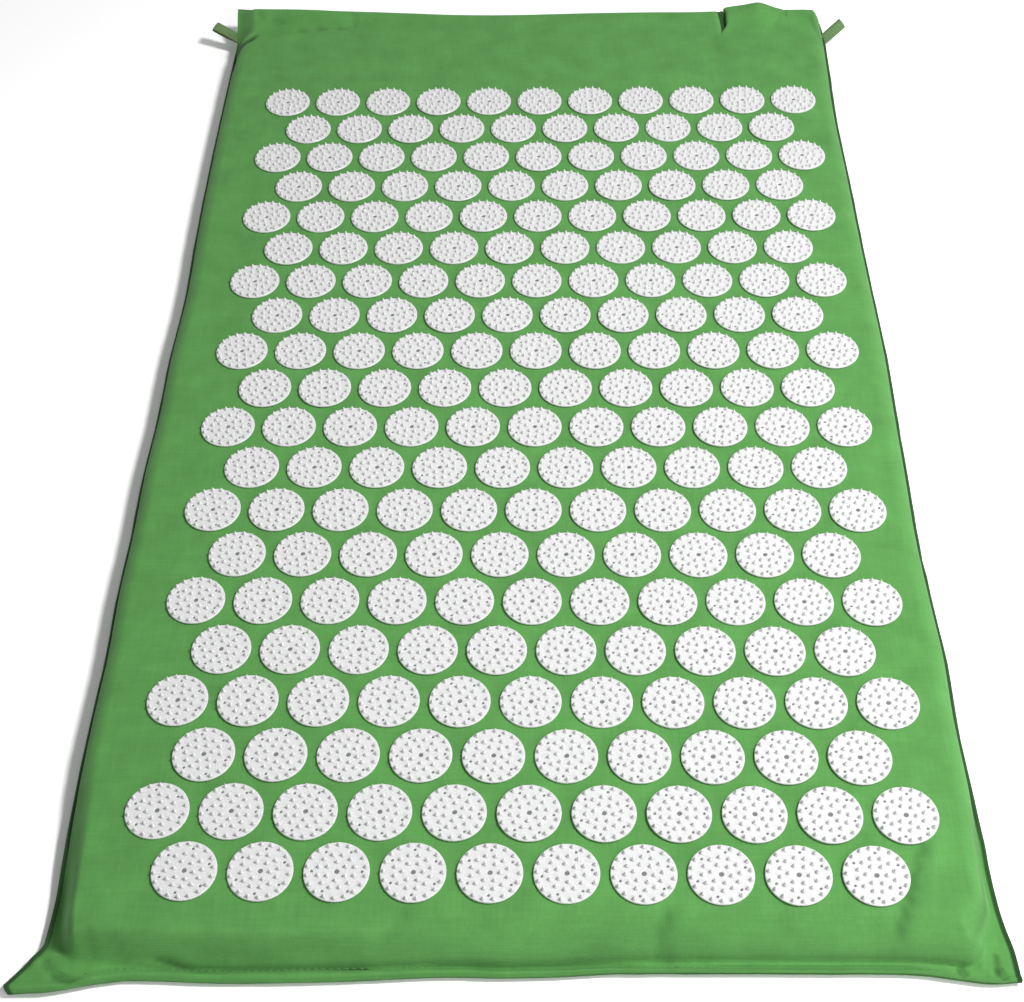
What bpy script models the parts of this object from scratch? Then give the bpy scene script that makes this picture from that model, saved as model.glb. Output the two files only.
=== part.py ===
# Acupressure mat: a foam pad inside a sewn cotton cover, with rows of moulded spike discs on top.
# Metres, +Z up, +Y towards the end with the closure.
# The origin is on the floor, under the middle of the mat.
# Run with: blender --background --python part.py

from math import cos, hypot, pi, radians, sin, sqrt

import bmesh
import bpy
from mathutils import Matrix, Vector

# Clearance between pieces that touch on the real mat
fit_gap = 0.0003

# Foam pad
pad_width = 0.405
pad_length = 0.725
pad_thickness = 0.018
pad_corner_radius = 0.018
pad_edge_radius = 0.0085
pad_corner_segments = 4
pad_edge_segments = 3
pad_round_share = 0.5

# Cotton cover: two panels that meet in a flat seam flange around the pad
cloth_thickness = 0.0006
side_flange = 0.007
near_flange = 0.0075
far_flange = 0.004
side_seam_height = 0.0085
near_seam_height = 0.0028
near_slope_length = 0.07
cover_corner_radius = 0.010
shoulder_radius = 0.011
belly_radius = 0.0085
shoulder_lap = 0.003
side_draw_in = 0.003
edge_station_shares = (0, 0.18, 0.40, 0.64, 1)
panel_cells_across = 3
panel_cells_along = 6

# Cushion ears at the corners of the cover
near_ear_side = 0.009
near_ear_end = 0.007
far_ear_side = 0.002
far_ear_end = 0.0015
ear_length = 0.030

# Spike discs, glued to the top panel in staggered rows, as many as fit between the margins
near_row_margin = 0.033
far_row_margin = 0.098
side_disc_margin = 0.010
disc_pitch = 0.034
row_pitch = 0.0306
disc_diameter = 0.0296
disc_base = 0.0012
disc_sides = 10
spike_height = 0.0036
spike_inset = 0.0030
disc_field_shift = 0.006
link_thickness = 0.0004

# Closure at the far end: a lifting flap over a facing, with hook tape and pile tape between them
flap_width = 0.048
flap_depth = 0.029
flap_side_inset = 0.0205
flap_far_inset = 0.0045
flap_lap = 0.002
flap_lift = 0.0048
flap_peak_share = 0.46
flap_slit_lift_share = 0.3
flap_cells_across = 8
flap_cells_along = 4
facing_gap = 0.0005
tape_thickness = 0.0006
tape_depth = 0.010
tape_far_inset = 0.003
tape_start_share = 0.14
tape_end_share = 0.72
tape_cells_across = 4
tape_cells_along = 4

# Hanging loops, folded from narrow tape and sewn into the side seams near the far end
loop_length = 0.0185
loop_width = 0.007
loop_tape_thickness = 0.0009
loop_root_radius = 0.0010
loop_tip_radius = 0.0017
loop_eye_root_radius = 0.00025
loop_eye_start = 0.004
loop_tilt = radians(25)
loop_far_inset = 0.018
loop_arc_steps = 6

# Topstitching thread along the near flange
thread_radius = 0.00035
thread_end_inset = 0.012
thread_bevel_resolution = 1

# Boolean cutters run past what they cut by this much
cutter_overrun = 0.02

# Colours and finishes
cotton_green = (0.105, 0.305, 0.082)
foam_grey = (0.60, 0.60, 0.58)
disc_white = (0.86, 0.87, 0.87)
tape_green = (0.075, 0.215, 0.065)
thread_green = (0.20, 0.45, 0.17)
cloth_roughness = 0.85
foam_roughness = 0.9
disc_roughness = 0.42
thread_roughness = 0.6

# Heights of the stacked layers
pad_bottom = cloth_thickness + fit_gap
pad_top = pad_bottom + pad_thickness
top_inner = pad_top + fit_gap
top_outer = top_inner + cloth_thickness
disc_bottom = top_outer + fit_gap

# Places along the mat, with the whole outline centred on the origin
near_reach = near_flange + near_ear_end
far_reach = far_flange + far_ear_end
pad_centre_y = (near_reach - far_reach) / 2
pad_near_y = pad_centre_y - pad_length / 2
pad_far_y = pad_centre_y + pad_length / 2
pad_side_x = pad_width / 2
far_outline_y = pad_far_y + far_flange
near_outline_y = pad_near_y - near_flange

# Counts of the disc field
row_count = 1 + int((pad_length - near_row_margin - far_row_margin) / row_pitch)
discs_in_long_row = 1 + int((pad_width - 2 * side_disc_margin - disc_diameter) / disc_pitch)

# Places of the closure
flap_far_y = far_outline_y - flap_far_inset
flap_hinge_y = flap_far_y - flap_depth
flap_right_x = pad_side_x - flap_side_inset
flap_left_x = flap_right_x - flap_width
flap_centre_x = (flap_left_x + flap_right_x) / 2
flap_middle_z = top_outer + fit_gap + cloth_thickness / 2
flap_hinge_z = flap_middle_z + (cloth_thickness + fit_gap) / 2


def clamp(value, low, high):
    return max(low, min(high, value))


def smooth(share):
    share = clamp(share, 0, 1)
    return share * share * (3 - 2 * share)


def inside_depth(x, y):
    # How far a point lies inside the filled part of the cover, negative outside it
    over_x = abs(x) - (pad_side_x - cover_corner_radius)
    over_y = abs(y - pad_centre_y) - (pad_length / 2 - cover_corner_radius)
    beyond = hypot(max(over_x, 0), max(over_y, 0)) + min(max(over_x, over_y), 0)
    return cover_corner_radius - beyond


def quarter_round(depth, radius):
    # Rises from 0 at the lap line to 1 at one radius further in
    share = clamp((depth + shoulder_lap) / radius, 0, 1)
    return sqrt(1 - (1 - share) ** 2)


def seam_height(y):
    # The seam lies low along the near edge and climbs to the sides' height
    climb = smooth((y - pad_near_y) / near_slope_length)
    return near_seam_height + (side_seam_height - near_seam_height) * climb


def top_inner_height(x, y):
    low = seam_height(y) + fit_gap / 2
    return low + (top_inner - low) * quarter_round(inside_depth(x, y), shoulder_radius)


def bottom_inner_height(x, y):
    high = seam_height(y) - fit_gap / 2
    return high - (high - cloth_thickness) * quarter_round(inside_depth(x, y), belly_radius)


def ear_share(distance):
    return clamp(1 - distance / ear_length, 0, 1) ** 2


def side_outline(y):
    # Half width of the cover: drawn in along the sides, with an ear at each end
    along = 2 * (y - pad_centre_y) / pad_length
    drawn = side_draw_in * max(1 - along * along, 0)
    near_ear = near_ear_side * ear_share(y - near_outline_y)
    far_ear = far_ear_side * ear_share(far_outline_y - y)
    return pad_side_x + side_flange - drawn + near_ear + far_ear


def end_outline(x, is_near):
    from_corner = pad_side_x + side_flange - abs(x)
    if is_near:
        return near_outline_y - near_ear_end * ear_share(from_corner)
    return far_outline_y + far_ear_end * ear_share(from_corner)


def flap_height(x, y):
    # Middle surface of the flap: it laps over the top panel at its hinge and lifts to its free end
    across = clamp((x - flap_left_x) / flap_width, 0, 1)
    along = clamp((y - flap_hinge_y) / flap_depth, 0, 1)
    if across < flap_peak_share:
        climb = sin(pi / 2 * across / flap_peak_share)
        lift_share = flap_slit_lift_share + (1 - flap_slit_lift_share) * climb
    else:
        lift_share = cos(pi / 2 * (across - flap_peak_share) / (1 - flap_peak_share))
    return flap_middle_z + flap_lift * lift_share * sin(pi / 2 * along)


def make_material(name, colour, roughness):
    material = bpy.data.materials.new(name)
    material.use_nodes = True
    shader = material.node_tree.nodes["Principled BSDF"]
    shader.inputs["Base Color"].default_value = (*colour, 1)
    shader.inputs["Roughness"].default_value = roughness
    shader.inputs["Metallic"].default_value = 0
    return material


def add_object(name, mesh, material, collection):
    thing = bpy.data.objects.new(name, mesh)
    if material is not None:
        mesh.materials.append(material)
    collection.objects.link(thing)
    return thing


def mesh_from(name, bm):
    bmesh.ops.recalc_face_normals(bm, faces=bm.faces[:])
    mesh = bpy.data.meshes.new(name)
    bm.to_mesh(mesh)
    bm.free()
    return mesh


def add_solidify(thing, thickness, offset):
    shell = thing.modifiers.new("cloth", "SOLIDIFY")
    shell.thickness = thickness
    shell.offset = offset


def add_boolean(thing, other, operation):
    step = thing.modifiers.new(operation.lower(), "BOOLEAN")
    step.operation = operation
    step.solver = "EXACT"
    step.object = other


def add_cutter(name, mesh, collection):
    cutter = add_object(name, mesh, None, collection)
    cutter.hide_render = True
    cutter.display_type = "WIRE"
    return cutter


def box_mesh(name, low, high):
    bm = bmesh.new()
    bmesh.ops.create_cube(bm, size=1)
    size = Vector(high) - Vector(low)
    middle = (Vector(high) + Vector(low)) / 2
    placed = Matrix.Translation(middle) @ Matrix.Diagonal((*size, 1))
    bmesh.ops.transform(bm, matrix=placed, verts=bm.verts[:])
    return mesh_from(name, bm)


def grid_mesh(name, columns, rows, place):
    # A sheet with one vertex for each column and row, put where place(column, row) says
    bm = bmesh.new()
    column_cells = len(columns) - 1
    row_cells = len(rows) - 1
    bmesh.ops.create_grid(bm, x_segments=column_cells, y_segments=row_cells, size=1)
    for vertex in bm.verts:
        column = round((vertex.co.x + 1) / 2 * column_cells)
        row = round((vertex.co.y + 1) / 2 * row_cells)
        vertex.co = place(columns[column], rows[row])
    for face in bm.faces:
        face.smooth = True
    mesh = bpy.data.meshes.new(name)
    bm.to_mesh(mesh)
    bm.free()
    return mesh


def spread(low, high, cells):
    return [low + (high - low) * step / cells for step in range(cells + 1)]


def set_origin(thing, pivot):
    # The object turns about this point, and its shape stays where it is
    thing.data.transform(Matrix.Translation(-Vector(pivot)))
    thing.location = pivot


def panel_stations(low_edge, high_edge, cells):
    # Closely spaced over the rounded edges and wide over the flat middle
    edge_depths = [shoulder_radius * share - shoulder_lap for share in edge_station_shares]
    edge_depths.append(shoulder_radius + cover_corner_radius / 2)
    lows = [low_edge + depth for depth in edge_depths]
    highs = [high_edge - depth for depth in reversed(edge_depths)]
    inner = spread(lows[-1], highs[0], cells)[1:-1]
    return ["low outline"] + lows + inner + highs + ["high outline"]


def add_cover_panel(name, height, offset, material, collection):
    columns = panel_stations(-pad_side_x, pad_side_x, panel_cells_across)
    rows = panel_stations(pad_near_y, pad_far_y, panel_cells_along)

    def place(column, row):
        x_is_edge = isinstance(column, str)
        y_is_edge = isinstance(row, str)
        side = -1 if column == "low outline" else 1
        is_near = row == "low outline"
        x = side * (pad_side_x + side_flange) if x_is_edge else column
        y = end_outline(x, is_near) if y_is_edge else row
        if x_is_edge:
            x = side * side_outline(clamp(y, near_outline_y, far_outline_y))
        return Vector((x, y, height(x, y)))

    panel = add_object(name, grid_mesh(name, columns, rows, place), material, collection)
    add_solidify(panel, cloth_thickness, offset)
    return panel


def add_cover(cotton, parts, cutters):
    add_cover_panel("cover_bottom_panel", bottom_inner_height, -1, cotton, parts)
    top = add_cover_panel("cover_top_panel", top_inner_height, 1, cotton, parts)
    low = (flap_left_x - fit_gap, flap_hinge_y + flap_lap, -cutter_overrun)
    high = (flap_right_x + fit_gap, flap_far_y + cutter_overrun, top_outer + cutter_overrun)
    mouth = add_cutter("closure_mouth_cutter", box_mesh("closure_mouth_cutter", low, high), cutters)
    add_boolean(top, mouth, "DIFFERENCE")


def rise(edge):
    return abs(edge.verts[0].co.z - edge.verts[1].co.z)


def add_foam_pad(foam, parts):
    bm = bmesh.new()
    bmesh.ops.create_cube(bm, size=1)
    size = Matrix.Diagonal((pad_width, pad_length, pad_thickness, 1))
    middle = Matrix.Translation((0, pad_centre_y, (pad_bottom + pad_top) / 2))
    bmesh.ops.transform(bm, matrix=middle @ size, verts=bm.verts[:])
    uprights = [edge for edge in bm.edges if rise(edge) > pad_thickness / 2]
    bmesh.ops.bevel(bm, geom=uprights, offset=pad_corner_radius, segments=pad_corner_segments,
                    affect="EDGES", profile=pad_round_share)
    rims = [edge for edge in bm.edges if rise(edge) < fit_gap]
    bmesh.ops.bevel(bm, geom=rims, offset=pad_edge_radius, segments=pad_edge_segments,
                    affect="EDGES", profile=pad_round_share)
    add_object("foam_pad", mesh_from("foam_pad", bm), foam, parts)


def split_link_face(wall):
    # The lower strip of a disc's side wall, where its neighbour joins on
    uprights = [edge for edge in wall.edges if rise(edge) > disc_base / 2]
    splits = []
    for edge in uprights:
        low = min(edge.verts, key=lambda vertex: vertex.co.z)
        splits.append(bmesh.utils.edge_split(edge, low, link_thickness / disc_base)[1])
    rest = bmesh.utils.face_split(wall, splits[0], splits[1])[0]
    return min((wall, rest), key=lambda face: face.calc_center_median().z)


def add_disc(bm, x, y):
    # A flat base whose top is drawn up into a ring of three-sided spikes
    radius = disc_diameter / 2
    turn = Matrix.Rotation(pi / disc_sides - pi / 2, 4, "Z")
    place = Matrix.Translation((x, y, disc_bottom + disc_base / 2))
    made = bmesh.ops.create_cone(bm, cap_ends=True, segments=disc_sides, radius1=radius, radius2=radius,
                                 depth=disc_base, matrix=place @ turn)
    faces = {face for vertex in made["verts"] for face in vertex.link_faces}
    top = max(faces, key=lambda face: face.calc_center_median().z)
    left = min(faces, key=lambda face: face.calc_center_median().x)
    right = max(faces, key=lambda face: face.calc_center_median().x)
    sectors = bmesh.ops.poke(bm, faces=[top])["faces"]
    spikes = bmesh.ops.poke(bm, faces=sectors, offset=spike_height)["verts"]
    for tip in spikes:
        outward = Vector((tip.co.x - x, tip.co.y - y, 0)).normalized()
        tip.co.x = x + outward.x * (radius - spike_inset)
        tip.co.y = y + outward.y * (radius - spike_inset)
    return left, right


def add_disc_row(index, plastic, parts):
    # Rows of ten and eleven discs take turns. Thin links make one piece of each row.
    name = f"disc_row_{index + 1:02d}"
    discs = discs_in_long_row - (index + 1) % 2
    y = pad_near_y + near_row_margin + index * row_pitch
    first_x = disc_field_shift - (discs - 1) * disc_pitch / 2
    bm = bmesh.new()
    walls = [add_disc(bm, first_x + step * disc_pitch, y) for step in range(discs)]
    for (_, right_wall), (left_wall, _) in zip(walls, walls[1:]):
        faces = [split_link_face(right_wall), split_link_face(left_wall)]
        rims = [edge for face in faces for edge in face.edges]
        bmesh.ops.delete(bm, geom=faces, context="FACES_ONLY")
        bmesh.ops.bridge_loops(bm, edges=rims)
    add_object(name, mesh_from(name, bm), plastic, parts)


def add_closure(cotton, tape, parts):
    # The facing continues the bottom panel up over the pad's far edge, inside the mouth
    facing_columns = [flap_left_x, flap_centre_x, flap_right_x]
    facing_near_y = flap_hinge_y + flap_lap + facing_gap
    facing_rows = [pad_far_y + shoulder_lap - shoulder_radius * share for share in edge_station_shares]
    facing_rows = [facing_near_y] + facing_rows[::-1] + [far_outline_y]
    facing_mesh = grid_mesh("closure_facing", facing_columns, facing_rows,
                            lambda x, y: Vector((x, y, top_inner_height(x, y))))
    facing = add_object("closure_facing", facing_mesh, cotton, parts)
    add_solidify(facing, cloth_thickness, 1)

    flap_columns = spread(flap_left_x, flap_right_x, flap_cells_across)
    flap_rows = spread(flap_hinge_y, flap_far_y, flap_cells_along)
    flap_mesh = grid_mesh("closure_flap", flap_columns, flap_rows,
                          lambda x, y: Vector((x, y, flap_height(x, y))))
    flap = add_object("closure_flap", flap_mesh, cotton, parts)
    add_solidify(flap, cloth_thickness, 0)

    tape_left_x = flap_left_x + flap_width * tape_start_share
    tape_right_x = flap_left_x + flap_width * tape_end_share
    tape_far_y = pad_far_y - tape_far_inset
    tape_columns = spread(tape_left_x, tape_right_x, tape_cells_across)
    tape_rows = spread(tape_far_y - tape_depth, tape_far_y, tape_cells_along)
    over_facing = cloth_thickness + fit_gap
    hook_mesh = grid_mesh("hook_tape", tape_columns, tape_rows,
                          lambda x, y: Vector((x, y, top_inner_height(x, y) + over_facing)))
    hook = add_object("hook_tape", hook_mesh, tape, parts)
    add_solidify(hook, tape_thickness, 1)

    under_flap = cloth_thickness / 2 + fit_gap
    pile_mesh = grid_mesh("pile_tape", tape_columns, tape_rows,
                          lambda x, y: Vector((x, y, flap_height(x, y) - under_flap)))
    pile = add_object("pile_tape", pile_mesh, tape, parts)
    add_solidify(pile, tape_thickness, -1)

    hinge = (flap_centre_x, flap_hinge_y, flap_hinge_z)
    set_origin(flap, hinge)
    set_origin(pile, hinge)


def round_ended(root_x, root_radius, tip_x, tip_radius):
    # Outline of a strip with round ends, as points in the plane
    points = []
    for step in range(loop_arc_steps + 1):
        angle = -pi / 2 + pi * step / loop_arc_steps
        points.append((tip_x + tip_radius * cos(angle), tip_radius * sin(angle)))
    for step in range(loop_arc_steps + 1):
        angle = pi / 2 + pi * step / loop_arc_steps
        points.append((root_x + root_radius * cos(angle), root_radius * sin(angle)))
    return points


def add_hanging_loop(name, side, tape, parts):
    # The folded tape closes into a slim eye, and its round root turns in front of the seam
    tip_x = loop_length - loop_tip_radius
    outer = round_ended(0, loop_root_radius, tip_x, loop_tip_radius)
    eye = round_ended(loop_eye_start, loop_eye_root_radius, tip_x, loop_tip_radius - loop_tape_thickness)
    outline = bpy.data.curves.new(name, "CURVE")
    outline.dimensions = "2D"
    outline.fill_mode = "BOTH"
    outline.extrude = loop_width / 2
    for points in (outer, eye):
        spline = outline.splines.new("POLY")
        spline.points.add(len(points) - 1)
        for point, (x, y) in zip(spline.points, points):
            point.co = (x, y, 0, 1)
        spline.use_cyclic_u = True
    guide = bpy.data.objects.new(name + "_outline", outline)
    parts.objects.link(guide)
    bpy.context.view_layer.update()
    evaluated = guide.evaluated_get(bpy.context.evaluated_depsgraph_get())
    mesh = bpy.data.meshes.new_from_object(evaluated)
    bpy.data.objects.remove(guide)
    mesh.name = name
    bm = bmesh.new()
    bm.from_mesh(mesh)
    bmesh.ops.remove_doubles(bm, verts=bm.verts[:], dist=fit_gap / 10)
    bmesh.ops.recalc_face_normals(bm, faces=bm.faces[:])
    bm.to_mesh(mesh)
    bm.free()
    loop = add_object(name, mesh, tape, parts)
    loop_y = pad_far_y - loop_far_inset
    root_x = side_outline(loop_y) + fit_gap + loop_root_radius
    upright = Matrix.Rotation(pi / 2, 4, "X")
    tilted = Matrix.Rotation(-loop_tilt, 4, "Y")
    facing_side = Matrix.Identity(4) if side > 0 else Matrix.Rotation(pi, 4, "Z")
    loop.data.transform(facing_side @ tilted @ upright)
    loop.location = (side * root_x, loop_y, seam_height(loop_y))


def add_thread(thread, parts):
    # One line of topstitching holds the near flange flat
    y = pad_near_y - (shoulder_lap + near_flange) / 2
    z = near_seam_height + fit_gap / 2 + cloth_thickness + fit_gap + thread_radius
    reach = pad_side_x - thread_end_inset
    line = bpy.data.curves.new("near_edge_stitching", "CURVE")
    line.dimensions = "3D"
    line.bevel_depth = thread_radius
    line.bevel_resolution = thread_bevel_resolution
    line.use_fill_caps = True
    spline = line.splines.new("POLY")
    spline.points.add(1)
    spline.points[0].co = (-reach, y, z, 1)
    spline.points[1].co = (reach, y, z, 1)
    stitching = bpy.data.objects.new("near_edge_stitching", line)
    line.materials.append(thread)
    parts.objects.link(stitching)


def main():
    for thing in list(bpy.data.objects):
        bpy.data.objects.remove(thing)
    parts = bpy.data.collections.new("acupressure_mat")
    cutters = bpy.data.collections.new("cutters")
    bpy.context.scene.collection.children.link(parts)
    bpy.context.scene.collection.children.link(cutters)

    cotton = make_material("cotton", cotton_green, cloth_roughness)
    foam = make_material("foam", foam_grey, foam_roughness)
    plastic = make_material("disc_plastic", disc_white, disc_roughness)
    tape = make_material("tape", tape_green, cloth_roughness)
    thread = make_material("thread", thread_green, thread_roughness)

    add_foam_pad(foam, parts)
    add_cover(cotton, parts, cutters)
    add_closure(cotton, tape, parts)
    for index in range(row_count):
        add_disc_row(index, plastic, parts)
    add_hanging_loop("hanging_loop_left", -1, tape, parts)
    add_hanging_loop("hanging_loop_right", 1, tape, parts)
    add_thread(thread, parts)


main()
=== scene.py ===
import random
from math import atan2, cos, exp, hypot, pi, radians, sin, sqrt, tau

import bmesh
import bpy
from mathutils import Matrix, Vector, noise


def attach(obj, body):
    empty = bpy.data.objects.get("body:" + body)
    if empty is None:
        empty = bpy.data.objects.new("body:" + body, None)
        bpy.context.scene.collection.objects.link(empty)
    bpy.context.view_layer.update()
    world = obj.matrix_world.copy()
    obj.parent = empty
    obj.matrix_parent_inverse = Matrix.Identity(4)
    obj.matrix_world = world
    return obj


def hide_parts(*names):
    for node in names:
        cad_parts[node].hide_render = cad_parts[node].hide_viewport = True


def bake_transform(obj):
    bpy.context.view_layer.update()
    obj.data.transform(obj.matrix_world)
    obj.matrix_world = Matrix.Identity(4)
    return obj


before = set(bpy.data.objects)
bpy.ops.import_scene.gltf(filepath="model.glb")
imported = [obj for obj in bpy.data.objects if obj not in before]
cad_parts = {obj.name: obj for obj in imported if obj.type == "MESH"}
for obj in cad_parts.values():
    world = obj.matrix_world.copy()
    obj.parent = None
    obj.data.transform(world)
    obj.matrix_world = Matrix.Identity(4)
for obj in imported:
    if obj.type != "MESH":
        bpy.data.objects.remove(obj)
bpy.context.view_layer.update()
scene = bpy.context.scene
mm = 0.001

print("stage: small helpers")


def clamp(value, low=0.0, high=1.0):
    return max(low, min(high, value))


def smooth(share):
    share = clamp(share)
    return share * share * (3 - 2 * share)


def bell(distance, width):
    return exp(-(distance / width) ** 2)


def through(points, place):
    # Smooth curve through (place, value) pairs, flat beyond its ends
    if place <= points[0][0]:
        return points[0][1]
    if place >= points[-1][0]:
        return points[-1][1]
    k = 0
    while place > points[k + 1][0]:
        k += 1
    (p0, v0), (p1, v1) = points[k], points[k + 1]
    before, after = points[max(k - 1, 0)], points[min(k + 2, len(points) - 1)]
    span = p1 - p0
    s = (place - p0) / span
    m0 = (v1 - before[1]) / (p1 - before[0]) * span
    m1 = (after[1] - v0) / (after[0] - p0) * span
    return ((2 * s ** 3 - 3 * s ** 2 + 1) * v0 + (s ** 3 - 2 * s ** 2 + s) * m0
            + (3 * s ** 2 - 2 * s ** 3) * v1 + (s ** 3 - s ** 2) * m1)


def rough(x, y, size, seed=0.0):
    # Even noise from -1 to 1 with bumps about as long as size
    return noise.noise(Vector((x / size, y / size, seed)))


def spread(low, high, cells):
    return [low + (high - low) * step / cells for step in range(cells + 1)]


def addPiece(name, mesh, material):
    piece = bpy.data.objects.new(name, mesh)
    mesh.materials.append(material)
    scene.collection.objects.link(piece)
    return piece


def meshFrom(name, bm, shadeSmooth=True):
    for face in bm.faces:
        face.smooth = shadeSmooth
    mesh = bpy.data.meshes.new(name)
    bm.to_mesh(mesh)
    bm.free()
    return mesh


def gridMesh(name, columns, rows, place, keep=None):
    # A sheet of quads, with place(column, row) for each corner and keep(x, y) for the cells that stay
    bm = bmesh.new()
    corners = [[bm.verts.new(place(column, row)) for column in columns] for row in rows]
    for j in range(len(rows) - 1):
        for i in range(len(columns) - 1):
            quad = (corners[j][i], corners[j][i + 1], corners[j + 1][i + 1], corners[j + 1][i])
            middle = (quad[0].co + quad[2].co) / 2
            if keep is None or keep(middle.x, middle.y):
                bm.faces.new(quad)
    loose = [vertex for vertex in bm.verts if not vertex.link_faces]
    bmesh.ops.delete(bm, geom=loose, context="VERTS")
    return meshFrom(name, bm)


def thicken(piece, thickness, offset):
    cloth = piece.modifiers.new("cloth thickness", "SOLIDIFY")
    cloth.thickness = thickness
    cloth.offset = offset


print("stage: shader groups")


def newGroup(name, inputs, outputs):
    group = bpy.data.node_groups.new(name, "ShaderNodeTree")
    for label, kind, default in inputs:
        socket = group.interface.new_socket(label, in_out="INPUT", socket_type=kind)
        if default is not None:
            socket.default_value = default
    for label, kind in outputs:
        group.interface.new_socket(label, in_out="OUTPUT", socket_type=kind)
    return group, group.nodes.new("NodeGroupInput"), group.nodes.new("NodeGroupOutput")


def feed(tree, target, source):
    if isinstance(source, bpy.types.NodeSocket):
        tree.links.new(source, target)
    else:
        target.default_value = source


def calc(tree, operation, *values):
    node = tree.nodes.new("ShaderNodeMath")
    node.operation = operation
    for socket, value in zip(node.inputs, values):
        feed(tree, socket, value)
    return node.outputs[0]


def setInputs(node, values):
    for label, value in values.items():
        node.inputs[label].default_value = value


def noiseAt(tree, vector, stretch, scale, detail=2.0):
    # Noise over a vector that is first stretched along its axes
    mapping = tree.nodes.new("ShaderNodeMapping")
    mapping.inputs["Scale"].default_value = stretch
    tree.links.new(vector, mapping.inputs["Vector"])
    texture = tree.nodes.new("ShaderNodeTexNoise")
    setInputs(texture, {"Scale": scale, "Detail": detail})
    tree.links.new(mapping.outputs["Vector"], texture.inputs["Vector"])
    return texture.outputs["Fac"]


def remap(tree, value, low, high, start=0.0, end=1.0):
    # Values from start to end become values from low to high
    node = tree.nodes.new("ShaderNodeMapRange")
    setInputs(node, {"From Min": start, "From Max": end, "To Min": low, "To Max": high})
    tree.links.new(value, node.inputs["Value"])
    return node.outputs["Result"]


def mixColour(tree, blend, share, first, second):
    node = tree.nodes.new("ShaderNodeMix")
    node.data_type = "RGBA"
    node.blend_type = blend
    feed(tree, node.inputs["Factor"], share)
    feed(tree, node.inputs["A"], first)
    feed(tree, node.inputs["B"], second)
    return node.outputs["Result"]


weaveNoise = {"yarnScale": 900.0, "yarnStretch": 0.06, "blotchScale": 55.0, "blotchDetail": 4.0}
wearRange = {"raised": (0.50, 0.62), "specks": (0.66, 0.74)}   # values that give none and all of each


def makeWeaveGroup():
    # Plain weave: two sets of threads that pass over and under each other
    group, start, end = newGroup(
        "plainWeave",
        [("Vector", "NodeSocketVector", None), ("Threads", "NodeSocketFloat", 1500.0)],
        [("Height", "NodeSocketFloat"), ("Yarn", "NodeSocketFloat"), ("Blotch", "NodeSocketFloat")])
    split = group.nodes.new("ShaderNodeSeparateXYZ")
    group.links.new(start.outputs["Vector"], split.inputs[0])
    turns = calc(group, "MULTIPLY", start.outputs["Threads"], pi)
    across = calc(group, "COSINE", calc(group, "MULTIPLY", split.outputs["X"], turns))
    lengthwise = calc(group, "COSINE", calc(group, "MULTIPLY", split.outputs["Y"], turns))
    crossing = calc(group, "MULTIPLY", across, lengthwise)
    warp = calc(group, "ADD", calc(group, "ABSOLUTE", across), crossing)
    weft = calc(group, "SUBTRACT", calc(group, "ABSOLUTE", lengthwise), crossing)
    height = calc(group, "MULTIPLY", calc(group, "MAXIMUM", warp, weft), 0.5)
    group.links.new(height, end.inputs["Height"])
    stretch, scale = weaveNoise["yarnStretch"], weaveNoise["yarnScale"]
    warpYarn = noiseAt(group, start.outputs["Vector"], (1, stretch, 1), scale)
    weftYarn = noiseAt(group, start.outputs["Vector"], (stretch, 1, 1), scale)
    yarn = calc(group, "MULTIPLY", calc(group, "ADD", warpYarn, weftYarn), 0.5)
    group.links.new(yarn, end.inputs["Yarn"])
    blotch = noiseAt(group, start.outputs["Vector"], (1, 1, 1), weaveNoise["blotchScale"],
                     weaveNoise["blotchDetail"])
    group.links.new(blotch, end.inputs["Blotch"])
    return group


def makeWearGroup():
    # Soft wear and dust: paler on raised edges, with loose specks
    group, start, end = newGroup(
        "softWear",
        [("Vector", "NodeSocketVector", None), ("Speck size", "NodeSocketFloat", 700.0)],
        [("Rub", "NodeSocketFloat"), ("Specks", "NodeSocketFloat")])
    geometry = group.nodes.new("ShaderNodeNewGeometry")
    raised = remap(group, geometry.outputs["Pointiness"], 0.0, 1.0, *wearRange["raised"])
    group.links.new(raised, end.inputs["Rub"])
    cells = group.nodes.new("ShaderNodeTexNoise")
    cells.inputs["Detail"].default_value = 1.0
    group.links.new(start.outputs["Vector"], cells.inputs["Vector"])
    group.links.new(start.outputs["Speck size"], cells.inputs["Scale"])
    specks = remap(group, cells.outputs["Fac"], 0.0, 1.0, *wearRange["specks"])
    group.links.new(specks, end.inputs["Specks"])
    return group


plainWeave = makeWeaveGroup()
softWear = makeWearGroup()


def newMaterial(name):
    material = bpy.data.materials.new(name)
    material.use_nodes = True
    return material, material.node_tree, material.node_tree.nodes["Principled BSDF"]


def addGroup(tree, group, vector, **values):
    node = tree.nodes.new("ShaderNodeGroup")
    node.node_tree = group
    tree.links.new(vector, node.inputs["Vector"])
    for label, value in values.items():
        node.inputs[label.replace("_", " ")].default_value = value
    return node


def objectPlace(tree):
    return tree.nodes.new("ShaderNodeTexCoord").outputs["Object"]


def addBump(tree, shader, height, distance, strength=1.0):
    bump = tree.nodes.new("ShaderNodeBump")
    setInputs(bump, {"Strength": strength, "Distance": distance})
    tree.links.new(height, bump.inputs["Height"])
    tree.links.new(bump.outputs["Normal"], shader.inputs["Normal"])


def maskFrom(tree, name):
    node = tree.nodes.new("ShaderNodeAttribute")
    node.attribute_name = name
    return node.outputs["Fac"]


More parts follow.
